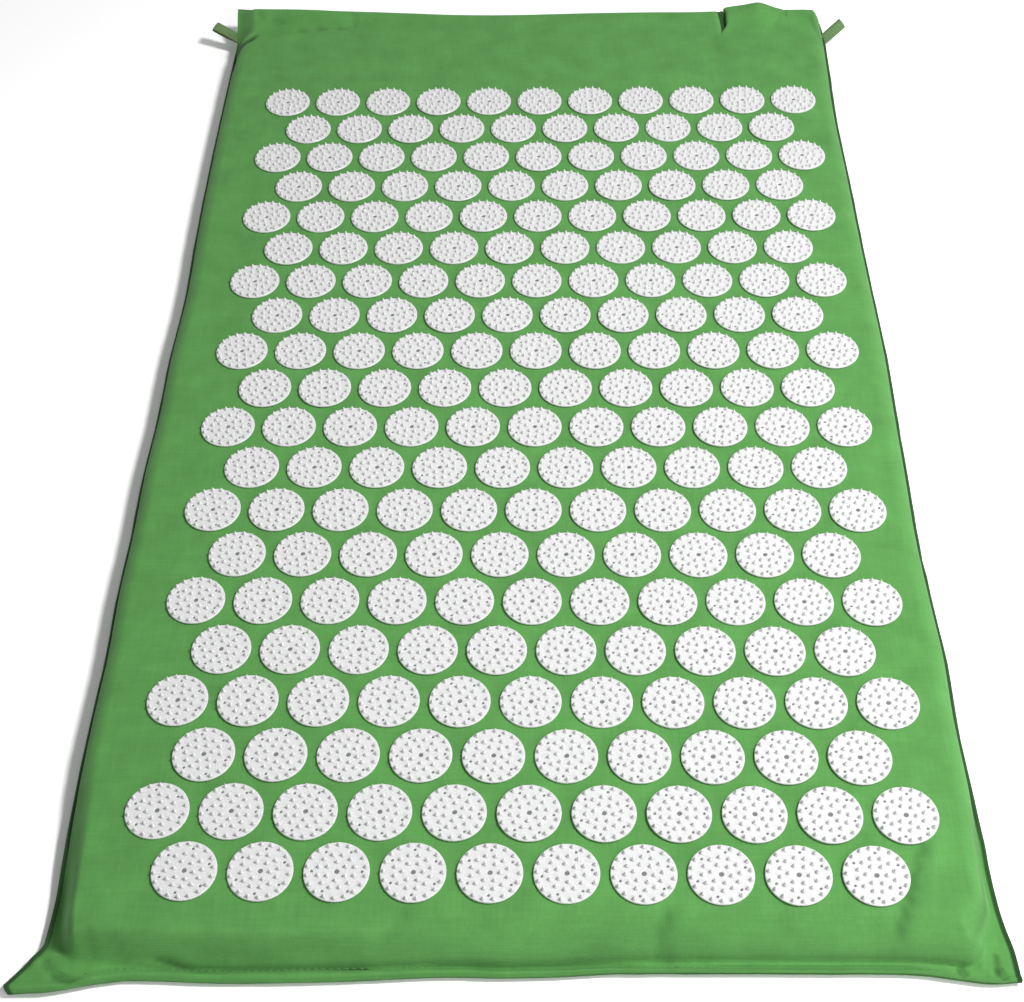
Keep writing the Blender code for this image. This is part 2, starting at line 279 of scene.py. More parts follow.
def wovenMaterial(name, look):
    material, tree, shader = newMaterial(name)
    place = objectPlace(tree)
    weave = addGroup(tree, plainWeave, place, Threads=look["threadsPerMetre"])
    wear = addGroup(tree, softWear, place, Speck_size=look["speckSize"])
    tone = mixColour(tree, "MIX", remap(tree, weave.outputs["Yarn"], look["yarnLow"], look["yarnHigh"]),
                     (*look["dark"], 1), (*look["light"], 1))
    blotch = remap(tree, weave.outputs["Blotch"], 1 - look["blotchShare"], 1 + look["blotchShare"])
    tone = mixColour(tree, "MULTIPLY", 1.0, tone, blotch)
    # Painted shade: the colour darkens in the low gaps between threads
    threadGapShade = remap(tree, weave.outputs["Height"], look["gapShade"], 1.0)
    tone = mixColour(tree, "MULTIPLY", 1.0, tone, threadGapShade)
    faded = calc(tree, "MULTIPLY", wear.outputs["Rub"], look["rubShare"])
    tone = mixColour(tree, "MIX", faded, tone, (*look["rubbed"], 1))
    lint = calc(tree, "MULTIPLY", wear.outputs["Specks"], look["lintShare"])
    tone = mixColour(tree, "MIX", lint, tone, (*look["rubbed"], 1))
    # Painted shade: the dark seam colour is mixed in along the seams, the hem groove, folds, shaded corner
    # walls and the closure's slit
    tone = mixColour(tree, "MIX", maskFrom(tree, "paintedShadeMask"), tone, (*look["seam"], 1))
    tree.links.new(tone, shader.inputs["Base Color"])
    tree.links.new(remap(tree, weave.outputs["Yarn"], look["roughLow"], look["roughHigh"]),
                   shader.inputs["Roughness"])
    setInputs(shader, {"Sheen Weight": look["sheen"], "Sheen Roughness": look["sheenRough"],
                       "Specular IOR Level": look["specular"]})
    # Ripples of the gathered hem under the weave, in one height
    ripple = noiseAt(tree, place, look["gatherStretch"], 1 / look["gatherPitch"], 1.0)
    ripple = calc(tree, "MULTIPLY", ripple, maskFrom(tree, "seamGather"))
    height = calc(tree, "ADD", calc(tree, "MULTIPLY", weave.outputs["Height"], look["weaveDepth"]),
                  calc(tree, "MULTIPLY", ripple, look["gatherDepth"]))
    addBump(tree, shader, height, 1.0, look["weaveStrength"])
    return material


cottonLook = {
    "dark": (0.083, 0.288, 0.062), "light": (0.127, 0.357, 0.095), "rubbed": (0.20, 0.44, 0.17),
    # seam: colour of the painted shade along seams, folds, the hem groove, corner walls and the slit
    "seam": (0.022, 0.070, 0.018), "threadsPerMetre": 1700.0, "speckSize": 620.0, "blotchShare": 0.24,
    "yarnLow": -0.2, "yarnHigh": 1.2, "gapShade": 0.88, "rubShare": 0.20, "lintShare": 0.06,
    "roughLow": 0.80, "roughHigh": 0.95, "sheen": 0.10, "sheenRough": 0.5, "specular": 0.2,
    "weaveDepth": 0.00010, "weaveStrength": 0.35, "gatherPitch": 3.2 * mm, "gatherDepth": 0.9 * mm,
    "gatherStretch": (1, 0.12, 0.3),
}
tapeLook = dict(cottonLook, dark=(0.110, 0.215, 0.075), light=(0.195, 0.320, 0.135),
                rubbed=(0.19, 0.20, 0.14), threadsPerMetre=1250.0, weaveDepth=0.0002, weaveStrength=0.7,
                gapShade=0.7)
threadLook = dict(cottonLook, dark=(0.07, 0.22, 0.055), light=(0.10, 0.29, 0.08), rubbed=(0.14, 0.34, 0.11),
                  threadsPerMetre=2600.0)

# Foam, hook tape and pile tape: fields of tiny cells or loops
foamLook = {"grain": 1100.0, "middle": (0.62, 0.62, 0.60), "edge": (0.42, 0.42, 0.41), "roughness": 0.95,
            "sheen": 0.0, "depth": 0.0006, "strength": 0.8}
hookLook = {"grain": 1400.0, "middle": (0.09, 0.23, 0.075), "edge": (0.035, 0.10, 0.03), "roughness": 0.8,
            "sheen": 0.3, "depth": 0.0006, "strength": 0.9}
pileLook = dict(hookLook, grain=2200.0, middle=(0.11, 0.29, 0.09), edge=(0.05, 0.14, 0.04), depth=0.0003)


def cellMaterial(name, look):
    material, tree, shader = newMaterial(name)
    cells = tree.nodes.new("ShaderNodeTexVoronoi")
    cells.inputs["Scale"].default_value = look["grain"]
    tree.links.new(objectPlace(tree), cells.inputs["Vector"])
    tone = mixColour(tree, "MIX", cells.outputs["Distance"], (*look["middle"], 1), (*look["edge"], 1))
    tree.links.new(tone, shader.inputs["Base Color"])
    setInputs(shader, {"Roughness": look["roughness"], "Sheen Weight": look["sheen"]})
    addBump(tree, shader, cells.outputs["Distance"], look["depth"], look["strength"])
    return material


discLook = {
    "plastic": (0.745, 0.760, 0.760), "shaded": (0.66, 0.67, 0.69), "warm": (0.760, 0.745, 0.750),
    "roughness": 0.36, "softness": 0.45, "depth": 1.2 * mm, "cloudScale": 160.0, "speckSize": 420.0,
    "scuffShare": 0.35, "smoother": 0.08, "rougher": 0.12, "flowScale": 900.0, "flowDepth": 0.00006,
    "flowStrength": 0.35,
}
glueLook = {"glue": (0.22, 0.23, 0.22), "dim": 0.6, "cloudScale": 500.0, "roughness": 0.3, "depth": 0.0001,
            "strength": 0.5}


def discMaterial():
    # Moulded white plastic: faint flow marks, cloudier patches and tiny scuffs
    material, tree, shader = newMaterial("moulded white plastic")
    place = objectPlace(tree)
    clouds = noiseAt(tree, place, (1, 1, 1), discLook["cloudScale"], 3.0)
    tone = mixColour(tree, "MIX", clouds, (*discLook["plastic"], 1), (*discLook["warm"], 1))
    wear = addGroup(tree, softWear, place, Speck_size=discLook["speckSize"])
    scuffs = calc(tree, "MULTIPLY", wear.outputs["Specks"], discLook["scuffShare"])
    tone = mixColour(tree, "MIX", scuffs, tone, (*discLook["shaded"], 1))
    tree.links.new(tone, shader.inputs["Base Color"])
    smoothest = discLook["roughness"] - discLook["smoother"]
    roughest = discLook["roughness"] + discLook["rougher"]
    tree.links.new(remap(tree, clouds, smoothest, roughest), shader.inputs["Roughness"])
    setInputs(shader, {"Subsurface Weight": discLook["softness"], "Subsurface Scale": discLook["depth"],
                       "Subsurface Radius": (1.0, 1.0, 1.0)})
    flow = noiseAt(tree, place, (1, 1, 1), discLook["flowScale"])
    addBump(tree, shader, flow, discLook["flowDepth"], discLook["flowStrength"])
    return material


def glueMaterial():
    # The thin film of glue that shows at the bottom of each disc's holes
    material, tree, shader = newMaterial("dried glue")
    clouds = noiseAt(tree, objectPlace(tree), (1, 1, 1), glueLook["cloudScale"])
    dim = tuple(glueLook["dim"] * channel for channel in glueLook["glue"])
    tone = mixColour(tree, "MIX", clouds, (*dim, 1), (*glueLook["glue"], 1))
    tree.links.new(tone, shader.inputs["Base Color"])
    shader.inputs["Roughness"].default_value = glueLook["roughness"]
    addBump(tree, shader, clouds, glueLook["depth"], glueLook["strength"])
    return material


cotton = wovenMaterial("green cotton canvas", cottonLook)
tapeCloth = wovenMaterial("narrow woven tape", tapeLook)
threadCloth = wovenMaterial("sewing thread", threadLook)
foam = cellMaterial("grey open-cell foam", foamLook)
plastic = discMaterial()
glue = glueMaterial()
hookCloth = cellMaterial("hook tape", hookLook)
pileCloth = cellMaterial("pile tape", pileLook)

print("stage: outline of the cover")

coverShape = {
    "clothThickness": 0.6 * mm, "topHeight": 19.8 * mm, "sideSeamHeight": 8.5 * mm,
    "nearSeamHeight": 2.8 * mm, "nearSlope": 70 * mm, "nearCorner": 10 * mm, "farCorner": 4 * mm,
    "shoulder": 10 * mm, "farShoulder": 5 * mm, "nearExtra": 11 * mm, "belly": 8.5 * mm,
    "sideFlange": 2.2 * mm, "nearFlange": 5.4 * mm, "farFlange": 3 * mm, "seamGap": 0.1 * mm,
    "lipDroop": 1.0 * mm,
}
leftSeam = [(-.3665, -.2085), (-.350, -.2076), (-.333, -.2068), (-.302, -.2072), (-.270, -.2079),
            (-.236, -.2081), (-.200, -.2078), (-.162, -.2090), (-.121, -.2087), (-.078, -.2096),
            (-.032, -.2088), (.017, -.2095), (.070, -.2084), (.127, -.2102), (.188, -.2113), (.254, -.2118),
            (.326, -.2117), (.346, -.2112), (.358, -.2118), (.3715, -.2128)]   # y, x
rightSeam = [(-.3665, .2190), (-.350, .2176), (-.331, .2140), (-.302, .2125), (-.270, .2114), (-.236, .2105),
             (-.200, .2111), (-.162, .2095), (-.121, .2083), (-.078, .2089), (-.032, .2093), (.017, .2099),
             (.069, .2089), (.125, .2079), (.185, .2073), (.251, .2062), (.321, .2076), (.345, .2078),
             (.360, .2066), (.3715, .2036)]   # y, x
nearSeam = [(-.215, -.3684), (-.180, -.3680), (-.160, -.3686), (-.130, -.3694), (-.110, -.3692),
            (-.090, -.3687), (-.070, -.3679), (-.055, -.3671), (-.040, -.3661), (-.024, -.3656),
            (-.006, -.3660), (.020, -.3651), (.040, -.3637), (.060, -.3633), (.137, -.3627), (.174, -.3627),
            (.190, -.3639), (.203, -.3651), (.2185, -.3643)]   # x, y
farSeam = [(-.215, .3722), (-.150, .3718), (-.095, .3712), (-.020, .3708), (.050, .3712), (.120, .3715),
           (.180, .3718), (.215, .3715)]   # x, y
ears = {   # how far each near corner sticks out sideways and endways, and over what length
    "nearLeft": {"side": 13.3 * mm, "sideLength": 19 * mm, "tipY": -0.3715, "round": 5.5 * mm,
                 "roundLength": 6 * mm, "end": 7.0 * mm, "endLength": 46 * mm},
    "nearRight": {"side": 0.0, "sideLength": 20 * mm, "tipY": -0.3640, "round": 1.2 * mm,
                  "roundLength": 6 * mm, "end": 1.5 * mm, "endLength": 40 * mm},
}
waver = {"left": (0.25 * mm, 16 * mm, 31.0), "right": (0.45 * mm, 14 * mm, 33.0),
         "near": (0.25 * mm, 12 * mm, 3.0)}   # unevenness of each seam: size, length and seed
earTaper = 1.3   # power by which an ear narrows away from its tip
nearEnd, farEnd, halfWidth = -0.3665, 0.3715, 0.2090


def sidePull(ear, y):
    # The ear sticks out sideways and its tip is rounded off
    out = clamp(1 - (y - ear["tipY"]) / ear["sideLength"])
    return ear["side"] * out ** earTaper - ear["round"] * clamp((ear["tipY"] - y) / ear["roundLength"]) ** 2


def waverAt(seam, place):
    size, length, seed = waver[seam]
    return size * rough(place, 0, length, seed)


def leftOutline(y):
    return through(leftSeam, y) - sidePull(ears["nearLeft"], y) + waverAt("left", y)


def rightOutline(y):
    return through(rightSeam, y) + sidePull(ears["nearRight"], y) + waverAt("right", y)


def nearOutline(x):
    left = ears["nearLeft"]["end"] * smooth(1 - (x + halfWidth) / ears["nearLeft"]["endLength"])
    right = ears["nearRight"]["end"] * smooth(1 - (halfWidth - x) / ears["nearRight"]["endLength"])
    return through(nearSeam, x) - left - right + waverAt("near", x)


def farOutline(x):
    return through(farSeam, x)


def coverPoint(across, lengthwise):
    # Shares from 0 to 1 become a point inside the four outlines
    y = nearEnd + (farEnd - nearEnd) * lengthwise
    x = 0.0
    for _ in range(3):
        low, high = leftOutline(y), rightOutline(y)
        x = low + (high - low) * across
        low, high = nearOutline(x), farOutline(x)
        y = low + (high - low) * lengthwise
    return x, y


sideFlanges = {   # y and width of the flat strip outside the padded part, along each side
    "left": [(-.3665, 11 * mm), (-.358, 8 * mm), (-.345, 4 * mm), (-.325, 2.6 * mm), (-.300, 2.2 * mm),
             (.335, 2.2 * mm), (.350, 3.2 * mm), (.3715, 3.0 * mm)],
    "right": [(-.3665, 15 * mm), (-.350, 13 * mm), (-.342, 8.5 * mm), (-.334, 5.2 * mm), (-.318, 4.6 * mm),
              (-.290, 2.8 * mm), (-.260, 2.2 * mm), (.3715, 2.2 * mm)],
}


def padDepth(x, y):
    # Distance inside the filled part of the cover, negative outside it
    left = x - through(leftSeam, y) - through(sideFlanges["left"], y)
    right = through(rightSeam, y) - x - through(sideFlanges["right"], y)
    near = y - through(nearSeam, x) - coverShape["nearFlange"]
    far = farOutline(x) - y - coverShape["farFlange"]
    side, end = min(left, right), min(near, far)
    radius = coverShape["nearCorner"] if near < far else coverShape["farCorner"]
    over = hypot(max(radius - side, 0), max(radius - end, 0))
    return radius - over if over > 0 else min(side, end)


def fromSeam(x, y):
    # Distance inside the outline of the cover, along its sides
    return min(x - leftOutline(y), rightOutline(y) - x)


def quarterRound(share):
    return sqrt(1 - (1 - clamp(share)) ** 2)


def cornerNear(x, y, cornerX, cornerY, reach):
    return smooth(1 - hypot(x - cornerX, y - cornerY) / reach)


farLeft = {   # the standing far left corner: its tip, its rise along the seam and its gentle inner slope
    "tipX": -0.2128, "tipY": 0.3735, "rise": 11.5 * mm, "riseReach": 37 * mm, "stretch": 0.5,
    "calmReach": 60 * mm, "innerX": -0.188, "innerFade": 12 * mm, "startY": 0.335, "startFade": 14 * mm,
    "slope": 14 * mm,
}
slopes = {   # where the shoulder is rounder, and where the near left corner slopes evenly
    "farBand": 25 * mm, "farFade": 12 * mm, "nearBand": 34 * mm, "nearFade": 16 * mm, "evenY": -0.255,
    "evenLength": 0.085, "evenWidth": 0.15, "evenClimb": 11 * mm,
}


def farLeftNear(x, y, reach):
    return cornerNear(x, y, farLeft["tipX"], farLeft["tipY"], reach)


def shoulderShare(x, y):
    # Climb of the top panel from its seam, from 0 to 1
    depth = padDepth(x, y)
    nearFar = smooth((y - farEnd + slopes["farBand"]) / slopes["farFade"])
    radius = coverShape["shoulder"] + (coverShape["farShoulder"] - coverShape["shoulder"]) * nearFar
    radius += coverShape["nearExtra"] * smooth((nearEnd + slopes["nearBand"] - y) / slopes["nearFade"])
    even = smooth((slopes["evenY"] - y) / slopes["evenLength"]) * smooth(-x / slopes["evenWidth"])
    share = quarterRound(depth / radius) * (1 - even) + smooth(depth / slopes["evenClimb"]) * even
    if x < farLeft["innerX"] and y > farLeft["startY"]:
        corner = smooth((y - farLeft["startY"]) / farLeft["startFade"])
        corner *= smooth((farLeft["innerX"] - x) / farLeft["innerFade"])
        fromSide = smooth((x - leftOutline(y)) / farLeft["slope"])
        fromEnd = quarterRound((farOutline(x) - y - coverShape["farFlange"]) / coverShape["farShoulder"])
        share += (fromSide * fromEnd - share) * corner
    return share


# Other corners that stand up a little: x, y, rise and reach
cornerRises = [(0.2070, 0.3735, 4.0 * mm, 22 * mm), (-0.200, nearEnd, 1.6 * mm, 30 * mm)]


def seamHeight(x, y):
    shape = coverShape
    climb = smooth((y - nearEnd - shape["nearFlange"]) / shape["nearSlope"])
    height = shape["nearSeamHeight"] + (shape["sideSeamHeight"] - shape["nearSeamHeight"]) * climb
    along = farLeft["tipX"] + farLeft["stretch"] * (x - farLeft["tipX"])
    height += farLeft["rise"] * farLeftNear(along, y, farLeft["riseReach"])
    for cornerX, cornerY, rise, reach in cornerRises:
        height += rise * cornerNear(x, y, cornerX, cornerY, reach)
    lip = clamp(1 - fromSeam(x, y) / shape["sideFlange"]) * (1 - farLeftNear(x, y, farLeft["calmReach"]))
    return height - shape["lipDroop"] * lip * lip * climb


farEdge = {   # the cloth's rise along the far edge, as x and rise, from its ridge at y inwards
    "ridgeY": 0.3665, "reach": 13 * mm,
    "lift": [(-.2128, .0044), (-.200, .0052), (-.189, .0052), (-.163, .0050), (-.136, .0037), (-.110, .0028),
             (-.084, .0016), (-.058, .0004), (-.032, -.0001), (-.005, 0.0), (.021, .0005), (.047, .0009),
             (.086, .0011), (.112, .0009), (.126, .0012), (.190, .0022), (.206, .0020)],
}


def farRise(x, y):
    return through(farEdge["lift"], x) * bell(min(y - farEdge["ridgeY"], 0), farEdge["reach"])


# Creases in millimetres: points, width and depth; a negative depth is a ridge
creases = [
    ([(186, -301), (176, -325), (169, -345), (164, -358)], 2.8, 1.1),
    ([(192, -295), (183, -322), (175, -350)], 4.0, -0.8),
    ([(192, -359), (195, -364)], 2.0, 1.1),
    ([(209.5, -359), (211.5, -366)], 1.6, 1.2),
    ([(212, -262), (207.5, -300), (206.5, -325), (205, -340), (198, -352)], 1.5, 0.8),
    ([(204, -270), (201, -310), (199, -335)], 3.6, -0.35),
    ([(204, -335), (199, -350), (195, -363)], 2.6, 0.3),
    ([(209, -352), (208.5, -364)], 1.3, 1.0),
    ([(203, -350), (203, -362)], 2.0, -0.9),
    ([(-208.5, -358), (-205.5, -363), (-201, -367), (-195, -369.5), (-186, -371)], 2.6, 1.3),
    ([(-214, -356), (-208, -363), (-200, -369)], 2.8, -0.8),
    ([(-204.5, -346), (-205, -356)], 2.0, 0.6),
    ([(-160, -359), (-148, -361.5), (-139, -363.7), (-123, -364.5)], 1.2, 1.3),
    ([(-176, -352), (-168, -362)], 2.6, 0.5),
    ([(-186, -350), (-182, -362)], 3.0, 0.5),
    ([(70, -338), (64.5, -352), (67.5, -362)], 3.4, 0.8),
    ([(76, -335), (71, -352)], 3.2, -0.4),
    ([(-45, -340), (-50, -350), (-56, -359)], 4.0, 0.45),
    ([(-24, -352), (-36, -346)], 3.0, 0.3),
    ([(120, -335), (117, -352)], 4.5, 0.3),
    ([(-96, -338), (-100, -352)], 5.0, 0.3),
    ([(-193, 343), (-199.5, 335.5), (-206.5, 328.5), (-209.5, 319), (-210.5, 300)], 2.2, 2.4),
    ([(-199, 343), (-205, 336)], 2.4, -0.4),
    ([(-210, 338), (-206, 330)], 1.8, 1.3),
    ([(-203, 360), (-198, 351)], 2.6, 0.3),
    ([(-196, 364), (-192, 355)], 3.0, 0.5),
    ([(-186, 358), (-176, 350)], 3.4, 0.6),
    ([(-154, 350), (-147, 344)], 3.2, 0.9),
    ([(-140, 350), (-132, 345)], 2.6, 0.7),
    ([(-168, 346), (-160, 343)], 3.0, 0.6),
    ([(-126, 364), (-126, 346)], 1.5, 0.5),
    ([(196, 362), (200, 345), (204, 330)], 2.2, 0.7),
    ([(128, 338), (131, 325), (129, 312)], 4.0, 0.4),
]
creaseFade = {"ends": 4, "least": 0.12, "reach": 3}   # fading towards both ends, and widths to look within
creasePaths = [([(x * mm, y * mm) for x, y in points], width * mm, depth * mm)
               for points, width, depth in creases]


def boxAround(points, margin):
    xs, ys = [x for x, _ in points], [y for _, y in points]
    return (min(xs) - margin, max(xs) + margin, min(ys) - margin, max(ys) + margin)


creaseBoxes = [boxAround(points, creaseFade["reach"] * width) for points, width, _ in creasePaths]


def creaseOffset(x, y):
    total = 0.0
    for (points, width, depth), (x0, x1, y0, y1) in zip(creasePaths, creaseBoxes):
        if not (x0 < x < x1 and y0 < y < y1):
            continue
        best, fade, run = 1.0, 0.0, 0.0
        lengths = [hypot(b[0] - a[0], b[1] - a[1]) for a, b in zip(points, points[1:])]
        whole = sum(lengths)
        for a, b, length in zip(points, points[1:], lengths):
            t = clamp(((x - a[0]) * (b[0] - a[0]) + (y - a[1]) * (b[1] - a[1])) / length ** 2)
            away = hypot(x - a[0] - t * (b[0] - a[0]), y - a[1] - t * (b[1] - a[1]))
            if away < best:
                best = away
                share = (run + t * length) / whole
                fade = smooth(min(share, 1 - share) * creaseFade["ends"] + creaseFade["least"])
            run += length
        total -= depth * fade * bell(best, width)
    return total


seamBand = 30 * mm   # hems and gathers stay within this distance from the seams
hem = {   # topstitched line along the near edge, a low roll outside it, and gathers as x, reach and share
    "gatherStretch": 0.4,
    "inset": [(-.215, .0050), (-.150, .0056), (-.110, .0060), (-.090, .0060), (-.070, .0056), (-.055, .0052),
              (-.045, .0048), (.035, .0038), (.060, .0029), (.090, .0026), (.175, .0027), (.215, .0028)],
    # shade: share of the painted shade in the hem groove
    "depth": 1.4 * mm, "width": 0.95 * mm, "shade": 0.32, "rollHeight": 0.6 * mm, "rollWidth": 1.3 * mm,
    "strength": [(-.215, 0.0), (-.172, 0.15), (-.150, 0.8), (-.140, 1.0), (-.066, 1.0), (-.058, 0.45),
                 (-.040, 0.5), (-.030, 1.0), (.040, 1.0), (.056, 0.45), (.082, 0.35), (.092, 1.0),
                 (.165, 1.0), (.180, 0.4), (.200, 0.2)],
    "gathers": [(-.128, .024, 0.8), (-.050, .014, 0.9), (.066, .020, 1.0), (.186, .014, 0.7)],
    "gatherHeight": 0.5 * mm, "gatherSize": 5 * mm, "gatherInset": 2 * mm, "gatherWidth": 5 * mm,
    "rippleLeast": 0.12, "rippleInset": 5 * mm, "rippleWidth": 3.2 * mm,
}
sideGather = {   # coarse and fine gathers have a size and a stretch
    "height": 0.38 * mm, "inset": 6 * mm, "width": 5 * mm, "coarse": (9 * mm, 0.3), "fine": (4.5 * mm, 0.5),
    "fineShare": 0.6, "groove": 0.5 * mm, "grooveInset": 1.9 * mm, "grooveWidth": 0.6 * mm,
}
slack = {   # waves of the cloth over the pad, and the least height of the top panel
    "wide": (0.35 * mm, 55 * mm, 1.0), "small": (0.14 * mm, 17 * mm, 2.0), "inset": 4 * mm, "fade": 20 * mm,
    "dip": 1.2 * mm, "least": 1.6 * mm, "under": (0.3 * mm, 14 * mm, 4.0), "underInset": 2 * mm,
    "underFade": 5 * mm,
}


def hemOffset(x, y):
    fromEdge = y - nearOutline(x)
    if fromEdge > seamBand:
        return 0.0
    inset = through(hem["inset"], x)
    strength = through(hem["strength"], x)
    offset = -hem["depth"] * strength * bell(fromEdge - inset, hem["width"])
    offset += hem["rollHeight"] * bell(fromEdge - inset * 0.5, hem["rollWidth"])
    band = bell(fromEdge - inset - hem["gatherInset"], hem["gatherWidth"])
    for place, reach, share in hem["gathers"]:
        ripple = hem["gatherHeight"] * share * rough(x, y * hem["gatherStretch"], hem["gatherSize"], 8.0)
        offset += ripple * bell(x - place, reach) * band
    return offset


def hemGather(x, fromEdge):
    # Share of short ripples across the hem, 0 away from it
    share = hem["rippleLeast"] + sum(part * bell(x - place, reach) for place, reach, part in hem["gathers"])
    return min(share, 1.0) * bell(fromEdge - hem["rippleInset"], hem["rippleWidth"])


def sideOffset(x, y):
    # A crease right inside the side seams, with small gathers beside it
    fromEdge = fromSeam(x, y)
    if fromEdge > seamBand:
        return 0.0
    side, seed = sideGather, 5.0 if x < 0 else 9.0
    (coarse, coarseStretch), (fine, fineStretch) = side["coarse"], side["fine"]
    gathers = rough(fromEdge * coarseStretch, y, coarse, seed)
    gathers += side["fineShare"] * rough(fromEdge * fineStretch, y, fine, seed + 1)
    groove = side["groove"] * (1 - min(2 * farLeftNear(x, y, farLeft["calmReach"]), 1))
    return (side["height"] * gathers * bell(fromEdge - side["inset"], side["width"])
            - groove * bell(fromEdge - side["grooveInset"], side["grooveWidth"]))


def wave(x, y, plan, share):
    height, size, seed = plan
    return height * share * rough(x, y, size, seed)


def topSurface(x, y):
    low = seamHeight(x, y) + coverShape["seamGap"] + coverShape["clothThickness"]
    high = coverShape["topHeight"] + farRise(x, y)
    z = low + (high - low) * shoulderShare(x, y)
    inner = smooth((padDepth(x, y) - slack["inset"]) / slack["fade"])
    z += wave(x, y, slack["wide"], inner) + wave(x, y, slack["small"], inner)
    z += creaseOffset(x, y) + hemOffset(x, y) + sideOffset(x, y)
    return max(z, low - slack["dip"], slack["least"])


def bottomSurface(x, y):
    high = seamHeight(x, y) - coverShape["seamGap"] - coverShape["clothThickness"]
    depth = padDepth(x, y)
    z = high - high * quarterRound(depth / coverShape["belly"])
    edge = smooth(-(depth - slack["underInset"]) / slack["underFade"])
    return max(z + wave(x, y, slack["under"], edge), 0.0)


closure = {   # the lifting lip at the far right
    "left": 0.1332, "right": 0.182, "hingeY": 0.3375, "farY": 0.3665, "lap": 2 * mm, "rightLap": 3 * mm,
    "sideLap": 1.5 * mm, "slitOpen": 3.8 * mm, "slitFlare": 1.2 * mm, "slitGap": 0.4 * mm,
    "curl": 1.5 * mm, "curlWidth": 1.8 * mm,
    "lift": [(.134, .0012), (.1385, .0021), (.1455, .0033), (.1516, .0043), (.1565, .0054), (.1605, .0059),
             (.1645, .0050), (.169, .0032), (.1745, .0012), (.180, 0.0)],   # x, rise of the free edge
}


def inMouth(x, y):
    fromLeft = x - closure["left"] + closure["slitGap"]
    fromRight = closure["right"] - closure["sideLap"] - x
    return fromLeft > 0 and fromRight > 0 and y > closure["hingeY"] + closure["lap"]


def stations(bands, marks=()):
    # Shares from 0 to 1 through bands of (end share, cells); marks are shares that must be hit
    shares = [0.0]
    for end, cells in bands:
        shares += spread(shares[-1], end, cells)[1:]
    for mark in marks:
        nearest = min(range(1, len(shares) - 1), key=lambda k: abs(shares[k] - mark))
        shares[nearest] = mark
    return shares


def shareOf(place, low, high):
    return (place - low) / (high - low)


print("stage: cover panels")
mouthX, mouthY = 0.155, 0.355   # lines on which the closure's cut edges are found
mouthSides = [shareOf(x, leftOutline(mouthY), rightOutline(mouthY))
              for x in (closure["left"] - closure["slitGap"], closure["right"] - closure["sideLap"])]
mouthEnd = shareOf(closure["hingeY"] + closure["lap"], nearOutline(mouthX), farOutline(mouthX))
topAcross = stations([(.0100, 8), (.065, 26), (.935, 100), (.990, 24), (1, 8)], marks=mouthSides)
topLength = stations([(.012, 17), (.045, 28), (.930, 138), (.990, 38), (1, 8)], marks=[mouthEnd])
bottomAcross = stations([(.0100, 5), (.065, 10), (.935, 36), (.990, 10), (1, 5)])
bottomLength = stations([(.012, 8), (.045, 10), (.945, 60), (.990, 10), (1, 5)])


def makePanel(name, columns, rows, surface, keep=None):
    def place(across, lengthwise):
        x, y = coverPoint(across, lengthwise)
        return (x, y, surface(x, y))
    return addPiece(name, gridMesh(name, columns, rows, place, keep), cotton)


# Painted shade for the cotton: dark seam lines, darker near and far edges, creases and shaded corner walls
paintedShadeBands = {   # shares of the seam's dark tone, and the bands they lie in
    "seamWidth": 1.7 * mm, "fade": 1.5 * mm, "nearWidth": 0.8 * mm, "nearShare": 0.25, "farShare": 0.6,
    "hemWidth": 1.1 * mm, "foldShare": 0.85, "foldDepth": 1.6 * mm, "cornerShare": 0.95, "cornerY": 0.330,
    "cornerFade": 8 * mm, "wallShare": 0.30, "wallRight": 0.15, "wallY": -0.20, "wallLength": 0.10,
    "wallWidth": 3.0 * mm, "wallFade": 2.5 * mm, "wallNear": 6 * mm, "wallNearFade": 8 * mm,
    "foldPower": 1.3,
}


def paintedShadeAt(x, y):
    # Share of the painted shade: seams, hem groove, folds and the wall under the near corners
    marks, side, near, far = paintedShadeBands, fromSeam(x, y), y - nearOutline(x), farOutline(x) - y
    shade = 1 - smooth((side - marks["seamWidth"]) / marks["fade"])
    if x < 0:
        shade *= 1 - marks["cornerShare"] * smooth((y - marks["cornerY"]) / marks["cornerFade"])
    nearShade = marks["nearShare"] * (1 - smooth((near - marks["nearWidth"]) / marks["fade"]))
    farShade = marks["farShare"] * (1 - smooth((far - marks["nearWidth"]) / marks["fade"]))
    groove = bell(near - through(hem["inset"], x), marks["hemWidth"])
    hemShade = hem["shade"] * through(hem["strength"], x) * groove
    foldShade = marks["foldShare"] * clamp(-creaseOffset(x, y) / marks["foldDepth"]) ** marks["foldPower"]
    wall = smooth((marks["wallY"] - y) / marks["wallLength"]) * (1 if x < 0 else marks["wallRight"])
    wall *= 1 - smooth((side - marks["wallWidth"]) / marks["wallFade"])
    wallShade = marks["wallShare"] * wall * smooth((near - marks["wallNear"]) / marks["wallNearFade"])
    return max(shade, nearShade, farShade, hemShade, foldShade, wallShade)


def markShadeAndGathers(piece):
    # Two masks for the cotton: the painted shade of the seams, hem groove, folds and corner walls, and the
    # gathers that the seams draw
    line = piece.data.attributes.new("paintedShadeMask", "FLOAT", "POINT")
    gather = piece.data.attributes.new("seamGather", "FLOAT", "POINT")
    for k, vertex in enumerate(piece.data.vertices):
        x, y = vertex.co.x, vertex.co.y
        line.data[k].value = paintedShadeAt(x, y)
        gather.data[k].value = hemGather(x, y - nearOutline(x))


coverTop = makePanel("coverTop", topAcross, topLength, topSurface, lambda x, y: not inMouth(x, y))
markShadeAndGathers(coverTop)
thicken(coverTop, coverShape["clothThickness"], -1)
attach(coverTop, "mat")
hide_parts("cover_top_panel")

coverBottom = makePanel("coverBottom", bottomAcross, bottomLength, bottomSurface)
coverBottom.data.flip_normals()
markShadeAndGathers(coverBottom)
thicken(coverBottom, coverShape["clothThickness"], -1)
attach(coverBottom, "mat")
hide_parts("cover_bottom_panel")

